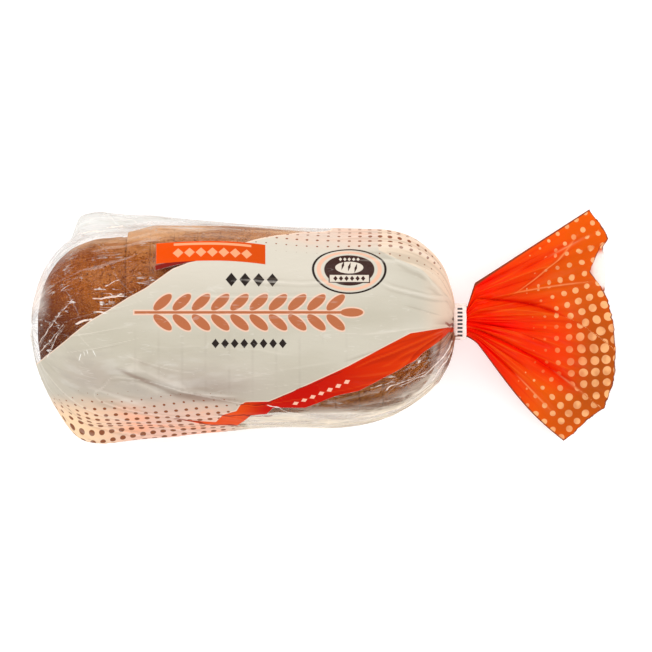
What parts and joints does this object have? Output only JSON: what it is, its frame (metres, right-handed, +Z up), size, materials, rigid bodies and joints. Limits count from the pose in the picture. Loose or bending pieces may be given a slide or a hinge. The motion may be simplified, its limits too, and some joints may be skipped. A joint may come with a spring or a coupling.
{
  "type": "loaf in bread bag",
  "caption": "Sliced rye and wheat loaf in a clear film bag with a pale printed panel, gathered at the neck by a white band, its tail spread in pleats.",
  "frame": {"origin": "centre of the pack's box in plan, on the surface that the pack lies on", "axes": "+X along the loaf from the sealed end to the tail, +Z up out of the printed panel"},
  "size_m": [0.3228, 0.129, 0.086],
  "materials": {
    "printed_film": "thin clear film with a pale panel and orange-red fields",
    "white_band": "smooth white plastic"
  },
  "bodies": {
    "root": {"bag": "printed_film", "neck_band": "white_band"}
  },
  "joints": []
}
